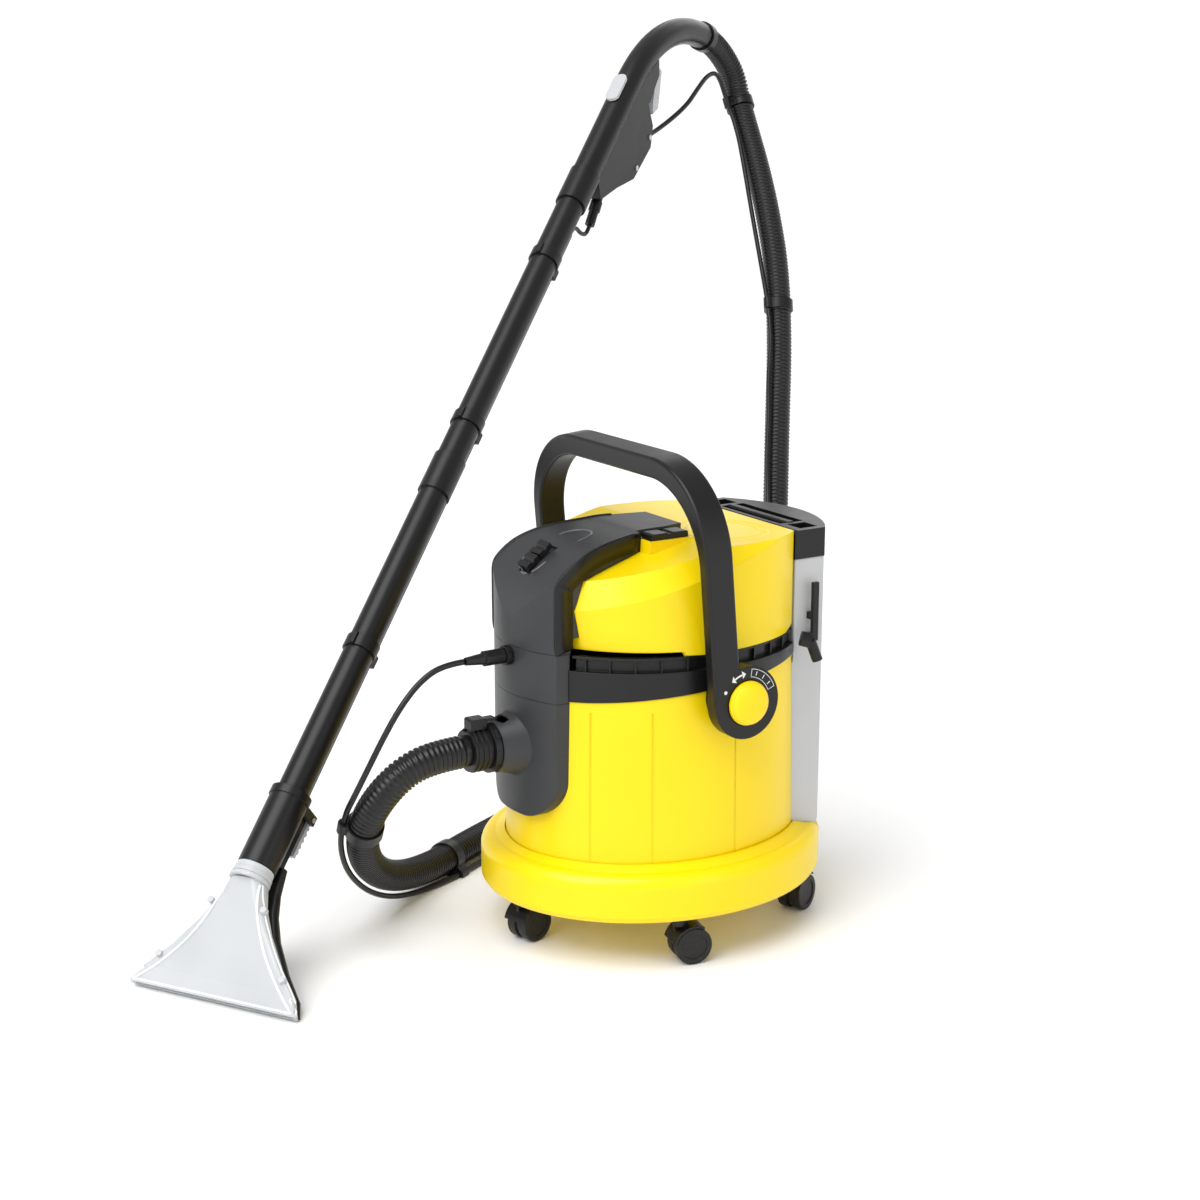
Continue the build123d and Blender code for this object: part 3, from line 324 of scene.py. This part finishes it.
def metal(name, colour, roughness):
    m = Nodes(name)
    stretched = m.add("ShaderNodeMapping")
    stretched.inputs["Scale"].default_value = (40, 40, 1500)
    m.link(m.place, stretched.inputs["Vector"])
    brush = m.add("ShaderNodeTexNoise", scale=1.0, detail=3.0)
    m.link(stretched.outputs["Vector"], brush.inputs["Vector"])
    m.link(m.ramp(brush.outputs["Fac"], tint(colour, 0.85), colour), m.shader.inputs["Base Color"])
    m.link(m.span(brush.outputs["Fac"], roughness - 0.06, roughness + 0.1), m.shader.inputs["Roughness"])
    m.shader.inputs["Metallic"].default_value = 1.0
    m.relief(brush.outputs["Fac"], 0.15, 0.00005, 0.0006)
    return m.material


YELLOW = (0.90, 0.66, 0.001)
LOOKS = {
    "yellow_plastic": plastic("yellow_shell", YELLOW, 0.30, 900.0, 0.00003, 0.002, 0.03, gloss=0.35),
    "grey_panel": plastic("grey_panel", (0.030, 0.031, 0.033), 0.40, 1500.0, 0.00006, 0.002, 0.10, gloss=0.4),
    "black_plastic": plastic("black_plastic", (0.006, 0.006, 0.0065), 0.34, 1500.0, 0.00005, 0.0012, 0.15, gloss=0.35),
    "hose_black": plastic("hose_black", (0.005, 0.005, 0.0055), 0.30, 700.0, 0.00005, 0.0, 0.2, 0.06, 0.4),
    "tread": plastic("caster_tread", (0.008, 0.008, 0.0085), 0.45, 600.0, 0.0001, 0.0012, 0.2, 0.08, 0.35),
    "pale_plastic": plastic("pale_plastic", (0.50, 0.51, 0.53), 0.35, 1200.0, 0.00003, 0.0012, 0.05),
    "tank_plastic": frosted_tank(),
    "clear_plastic": clear_plastic("clear_hood", (0.66, 0.68, 0.70), (0.74, 0.76, 0.78), 0.35),
    "screw_steel": metal("screw_steel", (0.62, 0.62, 0.63), 0.3),
    "motor_steel": metal("motor_steel", (0.5, 0.5, 0.52), 0.35),
}


def paint(obj, material):
    if obj.data.materials:
        for k in range(len(obj.data.materials)):
            obj.data.materials[k] = material
    else:
        obj.data.materials.append(material)


for row in frame["record"]["subparts"]:
    paint(NODES[row["node"]], LOOKS[row["material_slot"]])
for cord in (suction, spray, link):
    paint(cord, LOOKS["hose_black"])


# ---- added detail ---------------------------------------------------------------------------
def surface_of(node):
    """Search tree over a CAD node's own faces."""
    mesh = NODES[node].data
    return BVHTree.FromPolygons([v.co.copy() for v in mesh.vertices], [tuple(p.vertices) for p in mesh.polygons])


def dressed(obj, body, material):
    """Finish for an added piece: its material and its body."""
    paint(obj, material)
    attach(obj, body)
    return obj


def bead(name, node, body, material, points, radius, down, lift=0.0, closed=False, flat=1.0):
    """Raised bead that follows a node's surface under the given points."""
    tree = surface_of(node)
    places = []
    for point in points:
        hit, normal, _, _ = tree.ray_cast(Vector(point), Vector(down))
        if hit is None:
            hit, normal, _, _ = tree.find_nearest(Vector(point))
        if normal.dot(Vector(down)) > 0:
            normal = -normal
        places.append((hit + normal * lift, normal))
    around, vertices, faces = 10, [], []
    count = len(places)
    for k, (place, normal) in enumerate(places):
        before = places[(k - 1) % count if closed else max(0, k - 1)][0]
        after = places[(k + 1) % count if closed else min(count - 1, k + 1)][0]
        direction = (after - before).normalized()
        side = direction.cross(normal).normalized()
        for j in range(around):
            angle = 2 * math.pi * j / around
            vertices.append(place + side * math.cos(angle) * radius + normal * math.sin(angle) * radius * flat)
    rings = count if closed else count - 1
    for k in range(rings):
        nxt = (k + 1) % count
        for j in range(around):
            i = (j + 1) % around
            faces.append((k * around + j, k * around + i, nxt * around + i, nxt * around + j))
    if not closed:
        faces.append(tuple(reversed(range(around))))
        faces.append(tuple(range((count - 1) * around, count * around)))
    return dressed(mesh_object(name, vertices, faces), body, material)


def smooth_points(points, count):
    """Evenly spread points on a Catmull-Rom line."""
    result = []
    last = len(points) - 1
    for k in range(count):
        t = last * k / (count - 1)
        i = min(int(t), last - 1)
        u = t - i
        p = [Vector(points[max(0, min(last, i + d))]) for d in (-1, 0, 1, 2)]
        result.append(0.5 * ((2 * p[1]) + (p[2] - p[0]) * u + (2 * p[0] - 5 * p[1] + 4 * p[2] - p[3]) * u ** 2
                             + (3 * p[1] - p[0] - 3 * p[2] + p[3]) * u ** 3))
    return result


def stadium(half_width, half_length, count=64):
    """Outline of a long rounded slot, as (across, along)."""
    straight = half_length - half_width
    points = []
    for k in range(count):
        angle = 2 * math.pi * k / count
        shift = straight if math.sin(angle) >= 0 else -straight
        points.append((half_width * math.cos(angle), half_width * math.sin(angle) + shift))
    return points


def lathe(name, centre, axis_sign, profile, around=48):
    """Round piece on an X axis: profile of (radius, distance along the axis), from edge to middle."""
    vertices, faces = [], []
    for radius, out in profile:
        for j in range(around):
            angle = 2 * math.pi * j / around
            vertices.append((centre[0] + axis_sign * out, centre[1] + radius * math.cos(angle),
                             centre[2] + radius * math.sin(angle)))
    for k in range(len(profile) - 1):
        for j in range(around):
            i = (j + 1) % around
            quad = (k * around + j, k * around + i, (k + 1) * around + i, (k + 1) * around + j)
            faces.append(quad if axis_sign > 0 else tuple(reversed(quad)))
    return mesh_object(name, vertices, faces)


def plate(name, outline, x, thickness, side):
    """Thin mark on a face square to X: outline of (y, z)."""
    count = len(outline)
    vertices = [(x, y, z) for y, z in outline] + [(x + side * thickness, y, z) for y, z in outline]
    faces = [tuple(range(count)), tuple(range(count, 2 * count))]
    for k in range(count):
        i = (k + 1) % count
        faces.append((k, i, count + i, count + k))
    return mesh_object(name, vertices, faces, smooth=False)


PIVOT_Y, PIVOT_Z, DISC_X = 0.004, 0.318, 0.192   # bail axle, and the outer face of its discs
MARK_WHITE = plastic("printed_mark", (0.75, 0.76, 0.78), 0.5, 900.0, 0.00001, 0.0, 0.03)
RIM_GREY = plastic("rim_grey", (0.10, 0.10, 0.105), 0.35, 1500.0, 0.00004, 0.0, 0.05)
# whiter clear plastic for the hood ribs and beads: painted highlight, the same plastic as the hood
HOOD_RIB_HIGHLIGHT = clear_plastic("clear_hood_rib_painted_highlight", (0.86, 0.87, 0.88), (0.92, 0.93, 0.94), 0.15)


def on_disc(radius, degrees):
    """Point of the bail disc, degrees clockwise from straight up as seen from outside on +X."""
    angle = math.radians(degrees)
    return PIVOT_Y + radius * math.sin(angle), PIVOT_Z + radius * math.cos(angle)


def arc_band(inner, outer, start, stop, steps=12):
    """Outline of a piece of a ring on the disc."""
    outline = [on_disc(outer, start + (stop - start) * k / steps) for k in range(steps + 1)]
    return outline + [on_disc(inner, stop - (stop - start) * k / steps) for k in range(steps + 1)]


def make_disc_marks():
    """Plain generic marks round the knob: a framed scale with ticks and a two-way arrow."""
    marks = [("scale_outer", arc_band(0.0392, 0.0398, 8, 68)), ("scale_inner", arc_band(0.0300, 0.0306, 8, 68)),
             ("scale_start", arc_band(0.0300, 0.0398, 7.4, 8.4, 2)),
             ("scale_stop", arc_band(0.0300, 0.0398, 67.6, 68.6, 2)),
             ("tick_1", arc_band(0.0325, 0.0372, 19, 20.6, 2)), ("tick_2", arc_band(0.0325, 0.0372, 37, 38.6, 2)),
             ("tick_3", arc_band(0.0325, 0.0372, 55, 56.6, 2)),
             ("arrow_bar", arc_band(0.0338, 0.0358, -32, -12, 6)),
             ("arrow_low", [on_disc(0.0300, -31), on_disc(0.0348, -39), on_disc(0.0396, -31)]),
             ("arrow_high", [on_disc(0.0300, -13), on_disc(0.0396, -13), on_disc(0.0348, -5)]),
             ("dot_low", [on_disc(0.0345 + 0.0022 * math.cos(a * 0.524), -62 + 3.6 * math.sin(a * 0.524))
                          for a in range(12)])]
    for name, outline in marks:
        mark = plate("disc_" + name, outline, DISC_X + 0.00005, 0.00015, 1)
        dressed(mark, "bail", MARK_WHITE)


def make_knob_domes():
    for side, word in ((1, "right"), (-1, "left")):
        profile = [(0.0245, 0.0), (0.0243, 0.0012), (0.0232, 0.0026), (0.0205, 0.0039), (0.0165, 0.0049),
                   (0.0115, 0.0056), (0.006, 0.0060), (0.0003, 0.0061)]
        dome = lathe("knob_dome_" + word, (side * (DISC_X + 0.0061), PIVOT_Y, PIVOT_Z), side, profile)
        dressed(dome, "head", LOOKS["yellow_plastic"])


def make_rocker_recess():
    """Shallow raised rim round the rocker keys on the slope of the grey panel."""
    slope = math.radians(38)
    centre = Vector((0, -0.142, 0.484))
    up_slope = Vector((0, math.cos(slope), math.sin(slope)))
    normal = Vector((0, -math.sin(slope), math.cos(slope)))
    points = []
    for across, along in stadium(0.021, 0.047, 72):
        points.append(centre + Vector((across, 0, 0)) + up_slope * along + normal * 0.06)
    bead("rocker_rim", "top_panel", "head", RIM_GREY, points, 0.0016, -normal, 0.0, True, 0.7)


PANEL_HALF, PANEL_TAPER = 0.073, 0.2121          # half width of the grey panel, and how fast it narrows
PANEL_TAPER_Y = -0.150                           # where its sides start to close in
RIM_CENTRE = Vector((0, -0.030, 0.392))          # the rim is traced from rays that aim here
RIM_STEPS = 120
RIM_SECTION = ((-0.0034, -0.002), (-0.0034, 0.0004), (-0.0022, 0.0014), (0.0004, 0.0016), (0.0014, 0.0010),
               (0.0018, -0.0002), (0.0018, -0.0215), (0.0002, -0.0215))


def make_panel_shadow_rims():
    """Black rims along both sides of the grey panel, where it laps over the lid; their black is painted shade standing
    for the shadow gap at the panel's sides.
    """
    trees = [surface_of("top_panel"), surface_of("lid")]
    for side, word in ((1, "right"), (-1, "left")):
        places = []
        for k in range(RIM_STEPS + 1):
            angle = math.radians(-8 + 98 * k / RIM_STEPS)
            outward = Vector((0, -math.cos(angle), math.sin(angle)))
            half = PANEL_HALF
            for _ in range(3):
                start = RIM_CENTRE + Vector((side * (half - 0.0012), 0, 0)) + outward * 0.4
                hits = [tree.ray_cast(start, -outward) for tree in trees]
                place = min((h for h in hits if h[0] is not None), key=lambda h: h[3])[0]
                half = PANEL_HALF - max(0.0, place.y - PANEL_TAPER_Y) * PANEL_TAPER
            places.append(Vector((side * half, place.y, place.z)))
        for _ in range(12):
            inner = [(a + b * 2 + c) / 4 for a, b, c in zip(places, places[1:], places[2:])]
            places = [places[0], *inner, places[-1]]
        rows, faces = [], []
        for k, place in enumerate(places):
            along = (places[min(k + 1, RIM_STEPS)] - places[max(k - 1, 0)]).normalized()
            normal = Vector((side, 0, 0)).cross(along) * side
            if normal.dot(place - Vector((place.x, RIM_CENTRE.y, RIM_CENTRE.z))) < 0:
                normal = -normal
            rows += [place + Vector((side * across, 0, 0)) + normal * height for across, height in RIM_SECTION]
        wide = len(RIM_SECTION)
        for k in range(RIM_STEPS):
            for j in range(wide):
                i = (j + 1) % wide
                faces.append((k * wide + j, k * wide + i, (k + 1) * wide + i, (k + 1) * wide + j))
        faces.append(tuple(reversed(range(wide))))
        faces.append(tuple(range(RIM_STEPS * wide, (RIM_STEPS + 1) * wide)))
        # black plastic on these rims is painted shade for the shadow gap beside the panel
        dressed(mesh_object("panel_shadow_rim_" + word, rows, faces), "head", LOOKS["black_plastic"])


def make_hood_ribs():
    """Curved ribs and edge beads of the clear nozzle hood, in a clear plastic whiter than the hood: painted highlight
    along them.
    """
    looks = HOOD_RIB_HIGHLIGHT
    for side, word in ((1, "a"), (-1, "b")):
        line = [(108, 3), (78, 30), (52, 60), (35, 88), (25, 112), (21, 130)]
        points = [wand(side * x, 40, z) for x, z in line]
        bead("hood_rib_" + word, "nozzle_hood", "container", looks, smooth_points(points, 60), 0.0016, -UPPER, 0.0004)
        edge = [(112.5, 3), (102, 22), (74.5, 50), (47.5, 84), (30.5, 112), (22.5, 132)]
        points = [wand(side * x, 40, z) for x, z in edge]
        bead("hood_edge_" + word, "nozzle_hood", "container", looks, smooth_points(points, 60), 0.0011, -UPPER, 0.0)
    lip = [wand(x, 40, 4.0) for x in range(-112, 113, 8)]
    bead("hood_lip", "nozzle_hood", "container", looks, lip, 0.0013, -UPPER, 0.0003)


def make_lid_rings():
    """Two faint raised arcs on the lid, beside the bail."""
    for k, radius in enumerate((0.050, 0.062)):
        points = []
        for j in range(48):
            angle = 2 * math.pi * j / 48
            points.append((0.055 + radius * math.cos(angle), 0.062 + radius * 0.8 * math.sin(angle), 0.6))
        bead(f"lid_arc_{k}", "lid", "head", LOOKS["yellow_plastic"], points, 0.0022, (0, 0, -1), -0.0008, True, 0.6)


make_disc_marks()
make_knob_domes()
make_rocker_recess()
make_panel_shadow_rims()
make_hood_ribs()
make_lid_rings()


# ---- floor and light ------------------------------------------------------------------------
def add_stage():
    mesh = bpy.data.meshes.new("floor")
    size = 14.0
    mesh.from_pydata([(-size, -size, 0), (size, -size, 0), (size, size, 0), (-size, size, 0)], [], [(0, 1, 2, 3)])
    floor = bpy.data.objects.new("floor", mesh)
    bpy.context.scene.collection.objects.link(floor)
    m = Nodes("floor_paint")
    m.link(m.ramp(m.noise(1.5), (0.93, 0.93, 0.93), (0.95, 0.95, 0.95)), m.shader.inputs["Base Color"])
    m.shader.inputs["Roughness"].default_value = 0.7
    floor.data.materials.append(m.material)


def add_light(name, place, size, power, aim=(-0.2, 0, 0.4)):
    data = bpy.data.lights.new(name, "AREA")
    data.shape = "RECTANGLE"
    data.size, data.size_y = size
    data.energy = power
    light = bpy.data.objects.new(name, data)
    bpy.context.scene.collection.objects.link(light)
    light.location = place
    light.rotation_euler = (Vector(aim) - Vector(place)).to_track_quat("-Z", "Y").to_euler()


add_stage()
add_light("front", (0.9, -2.6, 2.0), (1.6, 1.6), 26)
add_light("side", (3.2, 0.8, 1.6), (1.0, 2.2), 12)
add_light("rear", (-2.4, 2.6, 2.2), (2.0, 1.6), 14)


def add_sun():
    sun = bpy.data.objects.new("key", bpy.data.lights.new("key", "SUN"))
    sun.data.energy = 2.2
    sun.data.angle = math.radians(50)
    bpy.context.scene.collection.objects.link(sun)
    sun.rotation_euler = Vector((-0.25, 0.75, -1.5)).to_track_quat("-Z", "Y").to_euler()


def add_world():
    """White near the horizon, dimmer overhead, so that the object keeps its shading."""
    world = bpy.data.worlds.new("studio")
    bpy.context.scene.world = world
    world.use_nodes = True
    sky = world.node_tree
    height = sky.nodes.new("ShaderNodeSeparateXYZ")
    sky.links.new(sky.nodes.new("ShaderNodeTexCoord").outputs["Generated"], height.inputs["Vector"])
    dim = sky.nodes.new("ShaderNodeMapRange")
    for socket, value in (("From Min", 0.10), ("From Max", 0.35), ("To Min", 1.05), ("To Max", 0.5)):
        dim.inputs[socket].default_value = value
    sky.links.new(height.outputs["Z"], dim.inputs["Value"])
    sky.links.new(dim.outputs["Result"], sky.nodes["Background"].inputs["Strength"])
    sky.nodes["Background"].inputs["Color"].default_value = (1, 1, 1, 1)


add_sun()
add_world()
bpy.context.scene.view_settings.view_transform = "Standard"
